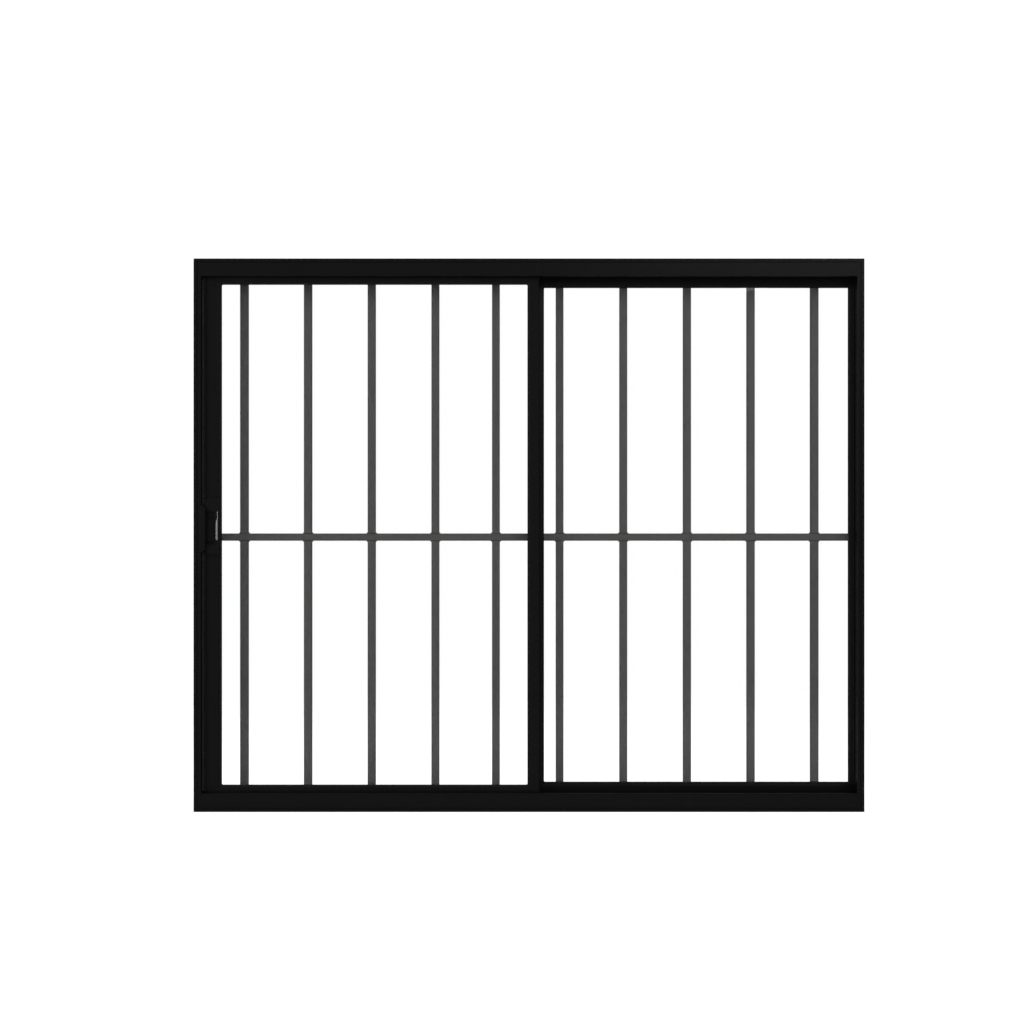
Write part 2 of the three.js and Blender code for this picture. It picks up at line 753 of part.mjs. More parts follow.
function rollerCarriage(x) {
  const outer = (SASH_BACK - SASH_FRONT) / 2 - MEMBER_WALL - GAP;
  const inner = WHEEL_WIDTH / 2 + WHEEL_PLAY;
  const roof = WHEEL_Z + WHEEL_RIM + WHEEL_PLAY;
  const section = [
    [TRACK_Y - outer, CARRIAGE_BOTTOM],
    [TRACK_Y - inner, CARRIAGE_BOTTOM],
    [TRACK_Y - inner, roof],
    [TRACK_Y + inner, roof],
    [TRACK_Y + inner, CARRIAGE_BOTTOM],
    [TRACK_Y + outer, CARRIAGE_BOTTOM],
    [TRACK_Y + outer, CARRIAGE_TOP],
    [TRACK_Y - outer, CARRIAGE_TOP],
  ];
  const half = CARRIAGE_LENGTH / 2;
  const body = prism('x', section, x - half, x + half);
  return cut(body, cylinder('y', AXLE_RADIUS + GAP, SASH_FRONT, SASH_BACK, [x, WHEEL_Z]));
}

function rollerWheel(x) {
  const half = WHEEL_WIDTH / 2;
  const rim = WHEEL_RIM;
  const profile = [
    [WHEEL_BORE, half],
    [rim - WHEEL_EDGE, half],
    [rim, half - WHEEL_EDGE],
    [rim, half - FLANGE],
    [WHEEL_ROOT, GROOVE_HALF],
    [WHEEL_ROOT, -GROOVE_HALF],
    [rim, -half + FLANGE],
    [rim, -half + WHEEL_EDGE],
    [rim - WHEEL_EDGE, -half],
    [WHEEL_BORE, -half],
    [WHEEL_BORE, half],
  ];
  return turned(profile, 32).translate(x, TRACK_Y, WHEEL_Z);
}

function rollerAxle(x) {
  const half = (SASH_BACK - SASH_FRONT) / 2 - MEMBER_WALL - 2 * GAP;
  return cylinder('y', AXLE_RADIUS, TRACK_Y - half, TRACK_Y + half, [x, WHEEL_Z], 32);
}

// ---------------------------------------------------------------- latch

const LATCH_SCREW_X = -569;
const LATCH_SCREW_LENGTH = 14;
const latchScrewHeights = [LATCH_BOTTOM + 9, LATCH_TOP - 12];
const PULL_LEFT = -561.2;
const PULL_RIGHT = -558.1;
const PULL_BOTTOM = 486.5;
const PULL_SHOULDER = 522.5; // above it the strip tapers to a narrow tail
const PULL_TOP = 538;
const PULL_TAIL = 0.9;
const PULL_FRONT = LATCH_FRONT - 0.6;
const PULL_POCKET = 1.2;
const RIB_COUNT = 3;
const RIB_CREST = LATCH_FRONT - 0.5;
const RIB_VALLEY = LATCH_FRONT + 0.9;
const RIB_FOOT = 0.6; // from the middle of a valley to a rib's foot
const RIB_SLOPE = 0.5;
const SLIDER_PLAY = 0.4; // between slider and slot
const NECK_LEFT = -573.5; // joins the slider to the hook inside the stile
const NECK_RIGHT = -568.5;
const NECK_BOTTOM = 499;
const NECK_TOP = 509;
const NECK_PLAY = 1.5;
const HOOK_PLAY = 0.8;
const HOOK_TAIL = -567;
const HOOK_SHOULDER = -577.5;
const HOOK_TAIL_BELOW = 3; // how far the tail reaches past the arm
const HOOK_TAIL_ABOVE = 17;

// The bright finger strip's outline, grown by a clearance for the pocket that it sits in.
function pullOutline(clearance) {
  const left = PULL_LEFT - clearance;
  const right = PULL_RIGHT + clearance;
  const tail = right - PULL_TAIL - 2 * clearance;
  return [
    [left, PULL_BOTTOM - clearance],
    [right, PULL_BOTTOM - clearance],
    [right, PULL_TOP + clearance],
    [tail, PULL_TOP + clearance],
    [tail, PULL_SHOULDER + PULL_TAIL],
    [left, PULL_SHOULDER],
  ];
}

function latchCase() {
  const corner = 8;
  const small = 1.5;
  const outline = [
    [LATCH_LEFT + corner, LATCH_BOTTOM],
    [LATCH_RIGHT - small, LATCH_BOTTOM],
    [LATCH_RIGHT, LATCH_BOTTOM + small],
    [LATCH_RIGHT, LATCH_TOP - small],
    [LATCH_RIGHT - small, LATCH_TOP],
    [LATCH_LEFT + corner, LATCH_TOP],
    [LATCH_LEFT, LATCH_TOP - corner],
    [LATCH_LEFT, LATCH_BOTTOM + corner],
  ];
  const plate = prism('y', outline, LATCH_FRONT, SASH_FRONT - GAP);
  const slot = prism(
    'y',
    roundedRectangle(SLOT_LEFT, SLOT_BOTTOM, SLOT_RIGHT, SLOT_TOP, 2, 2),
    LATCH_FRONT - 1,
    SASH_FRONT,
  );
  const pocket = prism('y', pullOutline(GAP), LATCH_FRONT - 1, LATCH_FRONT + PULL_POCKET);
  const holes = latchScrewHeights.map((z) =>
    countersunkHole(LATCH_SCREW_LENGTH, [0, 1, 0], [LATCH_SCREW_X, LATCH_FRONT, z]),
  );
  return cut(plate, slot, pocket, ...holes);
}

function latchPull() {
  return prism('y', pullOutline(0), PULL_FRONT, LATCH_FRONT + PULL_POCKET - GAP);
}

// The thumb grip has three upright ribs, and a neck that reaches the hook inside the stile.
function latchSlider() {
  const left = SLOT_LEFT + SLIDER_PLAY;
  const right = SLOT_RIGHT - SLIDER_PLAY;
  const pitch = (right - left) / RIB_COUNT;
  const back = SASH_FRONT - GAP;
  const outline = [[left, back], [left, RIB_VALLEY]];
  for (let rib = 0; rib < RIB_COUNT; rib += 1) {
    const start = left + rib * pitch + RIB_FOOT;
    const end = left + (rib + 1) * pitch - RIB_FOOT;
    outline.push(
      [start, RIB_VALLEY],
      [start + RIB_SLOPE, RIB_CREST],
      [end - RIB_SLOPE, RIB_CREST],
      [end, RIB_VALLEY],
    );
  }
  outline.push([right, RIB_VALLEY], [right, back]);
  const grip = prism('z', outline, GRIP_BOTTOM, GRIP_TOP);
  const neckEnd = TRACK_Y - HOOK_HALF - GAP;
  return join(grip, box(NECK_LEFT, NECK_RIGHT, back - 1, neckEnd, NECK_BOTTOM, NECK_TOP));
}

function latchHook() {
  const noseRight = STRIKE_LEFT - HOOK_PLAY;
  const noseTop = HOOK_BOTTOM + HOOK_NOSE;
  const armTop = HOOK_BOTTOM + HOOK_ARM;
  const outline = [
    [HOOK_TAIL, HOOK_BOTTOM - HOOK_TAIL_BELOW],
    [HOOK_TAIL, HOOK_BOTTOM + HOOK_TAIL_ABOVE],
    [HOOK_SHOULDER, HOOK_BOTTOM + HOOK_TAIL_ABOVE],
    [HOOK_SHOULDER, armTop],
    [noseRight, armTop],
    [noseRight, noseTop],
    [HOOK_TIP + 2, noseTop],
    [HOOK_TIP, noseTop - 3],
    [HOOK_TIP, HOOK_BOTTOM],
    [HOOK_SHOULDER, HOOK_BOTTOM],
    [HOOK_SHOULDER, HOOK_BOTTOM - HOOK_TAIL_BELOW],
  ];
  return prism('y', outline, TRACK_Y - HOOK_HALF, TRACK_Y + HOOK_HALF);
}

const KEEPER_DEPTH = -11.5;
const KEEPER_FACE = 1.8;
const KEEPER_CHAMFER = 4;
const KEEPER_FOOT_FRONT = -22;
const keeperFeet = [[470, 480], [526, 538]];
const STRIKE_PLAY = 1.2;
const STRIKE_INSET = 3;
const KEEPER_SCREW_LENGTH = 10;

const keeperBore = () =>
  cylinder(
    'x',
    PAN.shank + GAP,
    -WIDTH / 2 - 1,
    KEEPER_RIGHT,
    [TRACK_Y, KEEPER_SCREW_Z],
    16,
  );

// The keeper's face lies flush in a notch of the jamb, and its strike plate has the hook's slot.
function latchKeeper() {
  const face = prism(
    'y',
    [
      [KEEPER_LEFT, KEEPER_BOTTOM],
      [KEEPER_RIGHT - KEEPER_CHAMFER, KEEPER_BOTTOM],
      [KEEPER_RIGHT, KEEPER_BOTTOM + KEEPER_CHAMFER],
      [KEEPER_RIGHT, KEEPER_TOP - KEEPER_CHAMFER],
      [KEEPER_RIGHT - KEEPER_CHAMFER, KEEPER_TOP],
      [KEEPER_LEFT, KEEPER_TOP],
    ],
    FRONT,
    FRONT + KEEPER_FACE,
  );
  const strike = box(
    STRIKE_LEFT,
    STRIKE_RIGHT,
    FRONT + KEEPER_FACE / 2,
    KEEPER_DEPTH,
    KEEPER_BOTTOM + STRIKE_INSET,
    KEEPER_TOP - STRIKE_INSET,
  );
  const feet = keeperFeet.map(([z0, z1]) =>
    box(-WIDTH / 2 + WEB + GAP, STRIKE_LEFT + 0.5, KEEPER_FOOT_FRONT, KEEPER_DEPTH, z0, z1),
  );
  const slot = box(
    STRIKE_LEFT - 1,
    STRIKE_RIGHT + 1,
    TRACK_Y - HOOK_HALF - STRIKE_PLAY,
    TRACK_Y + HOOK_HALF + STRIKE_PLAY,
    STRIKE_SLOT_BOTTOM,
    STRIKE_SLOT_TOP,
  );
  return cut(join(face, strike, ...feet), slot, keeperBore());
}

// The notch lets the keeper's face in, and cuts the inner brush fin away behind it.
function leftJamb() {
  const notch = box(
    KEEPER_LEFT - GAP,
    KEEPER_RIGHT,
    FRONT - 1,
    JAMB_FINS[0] + JAMB_FIN_HALF + GAP,
    KEEPER_BOTTOM - GAP,
    KEEPER_TOP + GAP,
  );
  return cut(frameJamb(-1), notch, keeperBore());
}

// ---------------------------------------------------------------- seals and stops

const PILE_BOTTOM = 968;
const PILE_TOP = 974;

// Brush strips on both sides of the head's guide fin.
function topPile(side) {
  const near = TRACK_Y + side * (GUIDE_HALF + GAP);
  const far = TRACK_Y + side * ((SASH_BACK - SASH_FRONT) / 2 - MEMBER_WALL - GAP);
  const inset = GLAZING_DEPTH - 2;
  return box(
    SASH_LIP_LEFT + inset,
    SASH_LIP_RIGHT - inset,
    Math.min(near, far),
    Math.max(near, far),
    PILE_BOTTOM,
    PILE_TOP,
  );
}

const STOP_LENGTH = 22;

// A block in the sill's pocket that keeps the fixed light against the right jamb.
function fixedLightStop() {
  const right = FIXED_LIP_LEFT - MEETING_STILE - GAP;
  const left = right - STOP_LENGTH;
  return box(left, right, FIXED_FRONT, FIXED_BACK, WEB + GAP, POCKET_HEIGHT - 2);
}

const BUFFER_LENGTH = 19.4;
const BUFFER_CORNER = 3;
const lowerBuffer = { front: -23, back: -11, bottom: 10.5, top: 26.5 };
const upperBuffer = { front: -23.4, back: -18.6, bottom: 965.2, top: 981 };

// Rubber blocks between the right jamb's fins, which stop the sash when it is fully open.
function sashBuffer({ front, back, bottom, top }) {
  const right = WIDTH / 2 - WEB - GAP;
  const outline = roundedRectangle(right - BUFFER_LENGTH, bottom, right, top, BUFFER_CORNER);
  return prism('y', outline, front, back);
}

// ---------------------------------------------------------------- assembly

function buildFrame() {
  addPiece('frame_head', frameHead(), blackCoat);
  addPiece('frame_sill', frameSill(), blackCoat);
  addPiece('frame_jamb_left', leftJamb(), blackCoat);
  addPiece('frame_jamb_right', frameJamb(1), blackCoat);
  for (const [side, sideName] of [[-1, 'left'], [1, 'right']]) {
    for (const [index, end] of ['bottom', 'top'].entries()) {
      const position = [(side * WIDTH) / 2, FLUTE_Y, cornerScrewHeights[index]];
      const screw = countersunkScrew(CORNER_SCREW_LENGTH, [-side, 0, 0], position);
      addPiece(`frame_screw_${sideName}_${end}`, screw, blackSteel);
    }
  }
}

function buildGrille() {
  for (let index = 0; index < BAR_COUNT; index += 1) {
    const number = String(index + 1).padStart(2, '0');
    addPiece(`security_bar_${number}`, securityBar(index), grilleCoat);
  }
  addPiece('security_crossbar', securityCrossbar(), grilleCoat);
  for (const [end, z] of [['bottom', GRILLE_RAIL_Z], ['top', HEIGHT - GRILLE_RAIL_Z]]) {
    addPiece(`grille_rail_${end}`, grilleRail(z), grilleCoat);
    for (const [sideName, x] of [['left', -GRILLE_SCREW_X], ['right', GRILLE_SCREW_X]]) {
      const screw = countersunkScrew(GRILLE_SCREW_LENGTH - 1, [0, -1, 0], [x, BACK, z]);
      addPiece(`grille_screw_${sideName}_${end}`, screw, blackSteel);
    }
  }
}

function buildFixedLight() {
  const jambStile = stileOf(fixedLight, fixedMember({ width: FIXED_JAMB_STILE }), 1);
  addPiece('fixed_meeting_stile', fixedMeetingStile(), blackCoat);
  addPiece('fixed_jamb_stile', jambStile, blackCoat);
  addPiece('fixed_top_rail', railOf(fixedLight, fixedLight.rails.top, 1), blackCoat);
  addPiece('fixed_bottom_rail', railOf(fixedLight, fixedLight.rails.bottom, -1), blackCoat);
  addPiece('fixed_glass', glassOf(fixedLight), clearGlass);
  addPiece('fixed_gasket', gasketOf(fixedLight), rubber);
  addPiece('fixed_light_stop', fixedLightStop(), nylon);
}

function buildSash() {
  const meetingStile = sashMember({ width: MEETING_STILE, hookBehind: true });
  addPiece('sash_handle_stile', sashHandleStile(), blackCoat);
  addPiece('sash_meeting_stile', sashStile(meetingStile, 1), blackCoat);
  addPiece('sash_top_rail', railOf(sash, sash.rails.top, 1), blackCoat);
  addPiece('sash_bottom_rail', railOf(sash, sash.rails.bottom, -1), blackCoat);
  addPiece('sash_glass', glassOf(sash), clearGlass);
  addPiece('sash_gasket', gasketOf(sash), rubber);
  addPiece('sash_pile_inner', topPile(-1), pile);
  addPiece('sash_pile_outer', topPile(1), pile);
  const edges = [
    ['left', -1, SASH_LIP_LEFT - HANDLE_STILE],
    ['right', 1, SASH_LIP_RIGHT + MEETING_STILE],
  ];
  for (const [sideName, side, x] of edges) {
    for (const [index, end] of ['bottom', 'top'].entries()) {
      const position = [x, TRACK_Y, sashScrewHeights[index]];
      const screw = panScrew(SASH_SCREW_LENGTH, [-side, 0, 0], position);
      addPiece(`sash_screw_${sideName}_${end}`, screw, blackSteel);
    }
  }
}

function buildRollers() {
  for (const [index, sideName] of ['left', 'right'].entries()) {
    const x = ROLLER_X[index];
    addPiece(`roller_carriage_${sideName}`, rollerCarriage(x), nylon);
    addPiece(`roller_wheel_${sideName}`, rollerWheel(x), nylon);
    addPiece(`roller_axle_${sideName}`, rollerAxle(x), steel);
  }
}

function buildLatch() {
  addPiece('latch_case', latchCase(), blackCoat);
  addPiece('latch_pull', latchPull(), brightSteel);
  addPiece('latch_slider', latchSlider(), blackCoat);
  addPiece('latch_hook', latchHook(), steel);
  addPiece('latch_keeper', latchKeeper(), blackCoat);
  const position = [STRIKE_RIGHT, TRACK_Y, KEEPER_SCREW_Z];
  const keeperScrew = panScrew(KEEPER_SCREW_LENGTH, [-1, 0, 0], position);
  addPiece('latch_keeper_screw', keeperScrew, blackSteel);
  for (const [index, end] of ['bottom', 'top'].entries()) {
    const position = [LATCH_SCREW_X, LATCH_FRONT, latchScrewHeights[index]];
    const screw = countersunkScrew(LATCH_SCREW_LENGTH, [0, 1, 0], position);
    addPiece(`latch_screw_${end}`, screw, blackSteel);
  }
}

buildFrame();
buildGrille();
buildFixedLight();
buildSash();
buildRollers();
buildLatch();
addPiece('sash_buffer_bottom', sashBuffer(lowerBuffer), rubber);
addPiece('sash_buffer_top', sashBuffer(upperBuffer), rubber);

export default window_;
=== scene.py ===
"""The looks of the two-light sliding window with its security grille.

Everything is in metres, in the CAD frame: X to the right seen from the room, Y outward through the
wall, Z up. The CAD nodes keep their shapes, get finer edges by modifiers, and get the materials.
Pieces that only matter to the eye are added: welds, sealed mitres, brush seals and weep hoods.
"""

import json
import math
import random

import bmesh
import bpy
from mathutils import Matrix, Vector


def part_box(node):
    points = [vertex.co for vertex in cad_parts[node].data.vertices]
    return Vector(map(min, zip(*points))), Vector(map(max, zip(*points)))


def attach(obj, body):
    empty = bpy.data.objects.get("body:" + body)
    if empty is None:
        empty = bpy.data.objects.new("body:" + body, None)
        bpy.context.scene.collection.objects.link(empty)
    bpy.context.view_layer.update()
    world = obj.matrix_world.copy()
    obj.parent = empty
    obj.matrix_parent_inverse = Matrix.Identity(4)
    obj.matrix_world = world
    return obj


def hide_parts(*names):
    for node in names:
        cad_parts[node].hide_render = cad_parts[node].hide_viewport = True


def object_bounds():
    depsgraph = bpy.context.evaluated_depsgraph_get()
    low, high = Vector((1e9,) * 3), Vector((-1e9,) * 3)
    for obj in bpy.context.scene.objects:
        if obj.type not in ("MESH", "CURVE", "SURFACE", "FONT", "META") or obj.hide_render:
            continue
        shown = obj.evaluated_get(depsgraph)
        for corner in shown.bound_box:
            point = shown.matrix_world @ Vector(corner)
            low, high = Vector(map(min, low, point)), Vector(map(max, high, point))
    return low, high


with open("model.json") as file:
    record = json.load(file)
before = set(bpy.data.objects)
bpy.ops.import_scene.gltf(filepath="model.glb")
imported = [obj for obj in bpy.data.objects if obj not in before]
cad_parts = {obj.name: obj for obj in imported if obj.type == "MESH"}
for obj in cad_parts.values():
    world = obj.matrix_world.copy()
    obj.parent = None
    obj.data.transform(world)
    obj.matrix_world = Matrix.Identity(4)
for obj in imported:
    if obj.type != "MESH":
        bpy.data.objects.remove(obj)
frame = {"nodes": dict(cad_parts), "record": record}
cad_low, cad_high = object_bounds()
nodes = frame["nodes"]
SEED = 7

# ------------------------------------------------------------------ camera

CAMERA_DISTANCE = 2.5  # from the window's room-side face
SENSOR_WIDTH = 36  # in millimetres, as Blender has it
VIEW_WIDTH = 1.8308  # metres across the picture at the room-side face
SHIFT_X = -0.0166
SHIFT_Y = 0.0227


def add_camera():
    camera_data = bpy.data.cameras.new("camera")
    camera = bpy.data.objects.new("camera", camera_data)
    bpy.context.scene.collection.objects.link(camera)
    centre = (cad_low + cad_high) / 2
    camera.location = (centre.x, cad_low.y - CAMERA_DISTANCE, centre.z)
    camera.rotation_euler = (math.pi / 2, 0, 0)
    camera_data.sensor_width = SENSOR_WIDTH
    camera_data.lens = SENSOR_WIDTH * CAMERA_DISTANCE / VIEW_WIDTH
    camera_data.shift_x = SHIFT_X
    camera_data.shift_y = SHIFT_Y
    bpy.context.scene.camera = camera


add_camera()

# ------------------------------------------------------------------ material helpers

NOISE_LOW = 0.3  # a noise's values lie mostly between these two
NOISE_HIGH = 0.7


class Shading:
    """A material under construction: its tree, its Principled shader and its object coordinates."""

    def __init__(self, name):
        self.material = bpy.data.materials.new(name)
        self.material.use_nodes = True
        self.tree = self.material.node_tree
        self.tree.nodes.clear()
        self.output = self.add("ShaderNodeOutputMaterial")
        self.shader = self.add("ShaderNodeBsdfPrincipled")
        self.coordinates = self.add("ShaderNodeTexCoord").outputs["Object"]
        self.link(self.shader.outputs[0], self.output.inputs["Surface"])

    def add(self, kind, **settings):
        made = self.tree.nodes.new(kind)
        for key, value in settings.items():
            setattr(made, key, value)
        return made

    def link(self, start, end):
        self.tree.links.new(start, end)

    def set(self, **values):
        """Gives the shader's inputs of the same names plain values."""
        for key, value in values.items():
            self.shader.inputs[key.replace("_", " ")].default_value = value

    def noise(self, scale, detail=2, stretch=(1, 1, 1)):
        """A noise value over the object, with scale in waves per metre and an optional stretch."""
        mapping = self.add("ShaderNodeMapping")
        mapping.inputs["Scale"].default_value = stretch
        self.link(self.coordinates, mapping.inputs["Vector"])
        noise = self.add("ShaderNodeTexNoise")
        noise.inputs["Scale"].default_value = scale
        noise.inputs["Detail"].default_value = detail
        self.link(mapping.outputs[0], noise.inputs["Vector"])
        return noise.outputs["Fac"]

    def between(self, value, low, high, start=NOISE_LOW, end=NOISE_HIGH):
        """A value from start to end spread over low to high."""
        spread = self.add("ShaderNodeMapRange")
        spread.inputs["From Min"].default_value = start
        spread.inputs["From Max"].default_value = end
        spread.inputs["To Min"].default_value = low
        spread.inputs["To Max"].default_value = high
        self.link(value, spread.inputs["Value"])
        return spread.outputs["Result"]

    def blend(self, value, first, second):
        """A colour that goes from first to second with a value."""
        ramp = self.add("ShaderNodeValToRGB")
        ramp.color_ramp.elements[0].position = NOISE_LOW
        ramp.color_ramp.elements[0].color = (*first, 1)
        ramp.color_ramp.elements[1].position = NOISE_HIGH
        ramp.color_ramp.elements[1].color = (*second, 1)
        self.link(value, ramp.inputs["Fac"])
        return ramp.outputs["Color"]

    def bump(self, value, strength, distance, below=None):
        """Adds a bump, on top of another one's normal if there is one, and returns its normal."""
        bump = self.add("ShaderNodeBump")
        bump.inputs["Strength"].default_value = strength
        bump.inputs["Distance"].default_value = distance
        self.link(value, bump.inputs["Height"])
        if below is not None:
            self.link(below, bump.inputs["Normal"])
        return bump.outputs["Normal"]

    def drive(self, **sources):
        """Links outputs to the shader's inputs of the same names."""
        for key, source in sources.items():
            self.link(source, self.shader.inputs[key.replace("_", " ")])


def grey(value, warmth=0.0):
    """A grey, a little redder and less blue with warmth."""
    return (value * (1 + warmth), value, value * (1 - warmth))


# ------------------------------------------------------------------ materials


ROUGHNESS_SPREAD = 0.06  # of a powder coat, to either side of its roughness


def powder_coat(name, dark, light, specular, roughness):
    """Satin powder coat: orange peel about a millimetre across, and a faint cloudiness."""
    m = Shading(name)
    cloud = m.noise(7, detail=3)
    speckle = m.noise(1700, detail=3)
    peel = m.bump(m.noise(950), strength=0.22, distance=0.0003)
    grit = m.bump(m.noise(3600, detail=1), strength=0.12, distance=0.0001, below=peel)
    m.set(Specular_IOR_Level=specular, Metallic=0.0)
    m.drive(
        Base_Color=m.blend(speckle, grey(dark, 0.02), grey(light, 0.01)),
        Roughness=m.between(cloud, roughness - ROUGHNESS_SPREAD, roughness + ROUGHNESS_SPREAD),
        Normal=grit,
    )
    return m.material


PANE_IOR = 1.3  # less than glass, as both faces of a pane mirror


def clear_glass(name):
    """A pane seen through without bending, with a faint mirror that grows towards grazing.

    Light leaves the far face at the angle it came in at, so that face has to mirror as the near
    one does, without the total reflection that the inside of real glass has.
    """
    m = Shading(name)
    m.tree.nodes.remove(m.shader)
    clear = m.add("ShaderNodeBsdfTransparent")
    clear.inputs["Color"].default_value = (0.99, 0.993, 0.991, 1)
    gloss = m.add("ShaderNodeBsdfGlossy")
    gloss.inputs["Color"].default_value = (0.95, 0.98, 0.97, 1)
    m.link(m.between(m.noise(9, detail=4), 0.0, 0.05), gloss.inputs["Roughness"])
    fresnel = m.add("ShaderNodeFresnel")
    far_face = m.add("ShaderNodeNewGeometry").outputs["Backfacing"]
    m.link(m.between(far_face, PANE_IOR, 1 / PANE_IOR, 0, 1), fresnel.inputs["IOR"])
    mix = m.add("ShaderNodeMixShader")
    m.link(fresnel.outputs[0], mix.inputs["Fac"])
    m.link(clear.outputs[0], mix.inputs[1])
    m.link(gloss.outputs[0], mix.inputs[2])
    m.link(mix.outputs[0], m.output.inputs["Surface"])
    return m.material


def rubber(name):
    """Matt extruded rubber with a fine skin and a little chalky bloom."""
    m = Shading(name)
    bloom = m.noise(40, detail=4)
    m.set(Specular_IOR_Level=0.2, Metallic=0.0)
    m.drive(
        Base_Color=m.blend(bloom, grey(0.004), grey(0.008)),
        Roughness=m.between(bloom, 0.62, 0.8),
        Normal=m.bump(m.noise(2600, detail=3), strength=0.25, distance=0.0002),
    )
    return m.material


def nylon(name):
    """Moulded black nylon: a fine spark-eroded texture."""
    m = Shading(name)
    m.set(Specular_IOR_Level=0.3, Metallic=0.0)
    m.drive(
        Base_Color=m.blend(m.noise(60, detail=3), grey(0.010), grey(0.015)),
        Roughness=m.between(m.noise(900), 0.45, 0.6),
        Normal=m.bump(m.noise(2200, detail=3), strength=0.3, distance=0.0002),
    )
    return m.material


def brush_fibre(name):
    """Dull polypropylene fibre, a little different from tuft to tuft."""
    m = Shading(name)
    m.set(Specular_IOR_Level=0.15, Sheen_Weight=0.3, Sheen_Roughness=0.5)
    m.drive(
        Base_Color=m.blend(m.noise(1200), grey(0.006), grey(0.02)),
        Roughness=m.between(m.noise(700), 0.75, 0.95),
    )
    return m.material


def plain_steel(name):
    """Zinc-plated steel: faint cloudy plating and fine turning marks."""
    m = Shading(name)
    turning_marks = m.noise(900, stretch=(1, 6, 1))
    m.set(Metallic=1.0)
    m.drive(
        Base_Color=m.blend(m.noise(400, detail=4), (0.42, 0.43, 0.45), (0.56, 0.56, 0.56)),
        Roughness=m.between(m.noise(160, detail=3), 0.26, 0.42),
        Normal=m.bump(turning_marks, strength=0.1, distance=0.0001),
    )
    return m.material


def black_oxide(name):
    """Oiled black-oxide steel, a little browner where the oxide is thin."""
    m = Shading(name)
    m.set(Metallic=0.6, Specular_IOR_Level=0.3)
    m.drive(
        Base_Color=m.blend(m.noise(500, detail=4), (0.006, 0.006, 0.007), (0.014, 0.012, 0.011)),
        Roughness=m.between(m.noise(300, detail=3), 0.36, 0.52),
        Normal=m.bump(m.noise(1300), strength=0.12, distance=0.0001),
    )
    return m.material


def polished_steel(name):
    """Bright polished steel with a few hairlines along its length."""
    m = Shading(name)
    hairlines = m.noise(1500, stretch=(1, 1, 0.03))
    m.set(Metallic=1.0)
    m.drive(
        Base_Color=m.blend(hairlines, grey(0.72), grey(0.82)),
        Roughness=m.between(hairlines, 0.12, 0.24),
        Normal=m.bump(hairlines, strength=0.05, distance=0.0001),
    )
    return m.material


weld_coat = powder_coat("weld_powder_coat", dark=0.067, light=0.092, specular=0.2, roughness=0.46)
SLOT_MATERIALS = {
    "black_coat": powder_coat("black_powder_coat", 0.0042, 0.0059, specular=0.1, roughness=0.4),
    "grille_coat": powder_coat("grille_powder_coat", 0.074, 0.092, specular=0.16, roughness=0.5),
    "glass": clear_glass("clear_glass"),
    "rubber": rubber("gasket_rubber"),
    "nylon": nylon("black_nylon"),
    "pile": brush_fibre("brush_fibre"),
    "steel": plain_steel("zinc_steel"),
    "black_steel": black_oxide("black_oxide_steel"),
    "bright_steel": polished_steel("polished_steel"),
}

# ------------------------------------------------------------------ finishing the CAD nodes

SLOT_OF = {s["node"]: s["material_slot"] for s in frame["record"]["subparts"]}
EDGE_BY_SLOT = {
    "black_coat": 0.0003,
    "grille_coat": 0.0004,
    "glass": 0.0004,
    "rubber": 0.0005,
    "nylon": 0.0005,
    "steel": 0.0002,
    "black_steel": 0.0002,
    "bright_steel": 0.0005,
}
MERGE_DISTANCE = 0.00001
FLAT_ANGLE = math.radians(0.6)  # faces that meet at less become one before the rounding
SHARP_ANGLE = math.radians(32)
BEVEL_SEGMENTS = 2
LARGE_FACE_WEIGHT = 80  # how far large faces decide the shading of the rounding beside them


def add_modifier(obj, kind, **settings):
    modifier = obj.modifiers.new(kind.lower(), kind)
    for key, value in settings.items():
        setattr(modifier, key, value)


def soften_edges(obj, width):
    """Rounds an object's sharp edges by width, and shades it smoothly over the rounding."""
    for polygon in obj.data.polygons:
        polygon.use_smooth = True
    add_modifier(obj, "WELD", merge_threshold=MERGE_DISTANCE)
    add_modifier(obj, "DECIMATE", decimate_type="DISSOLVE", angle_limit=FLAT_ANGLE)
    add_modifier(
        obj,
        "BEVEL",
        width=width,
        segments=BEVEL_SEGMENTS,
        limit_method="ANGLE",
        angle_limit=SHARP_ANGLE,
        use_clamp_overlap=True,
    )
    add_modifier(obj, "WEIGHTED_NORMAL", weight=LARGE_FACE_WEIGHT, keep_sharp=False)


def dress(obj, material):
    obj.data.materials.clear()
    obj.data.materials.append(material)


def finish_cad_nodes():
    for name, obj in nodes.items():
        slot = SLOT_OF[name]
        dress(obj, SLOT_MATERIALS[slot])
        if slot in EDGE_BY_SLOT:
            soften_edges(obj, EDGE_BY_SLOT[slot])


finish_cad_nodes()

# ------------------------------------------------------------------ building new pieces


def piece_from(name, shape, body, material):
    """Makes an object from a bmesh, gives it a material, and lets it ride on a body."""
    mesh = bpy.data.meshes.new(name)
    bmesh.ops.recalc_face_normals(shape, faces=shape.faces)
    shape.to_mesh(mesh)
    shape.free()
    obj = bpy.data.objects.new(name, mesh)
    bpy.context.scene.collection.objects.link(obj)
    dress(obj, material)
    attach(obj, body)
    return obj


def sweep(shape, sections):
    """Joins rings of equally many points into a skin that is closed at both ends."""
    rings = [[shape.verts.new(point) for point in ring] for ring in sections]
    count = len(rings[0])
    for ring, following in zip(rings, rings[1:]):
        for index in range(count):
            after = (index + 1) % count
            shape.faces.new((ring[index], ring[after], following[after], following[index]))
    shape.faces.new(rings[0][::-1])
    shape.faces.new(rings[-1])


# ------------------------------------------------------------------ welds of the grille

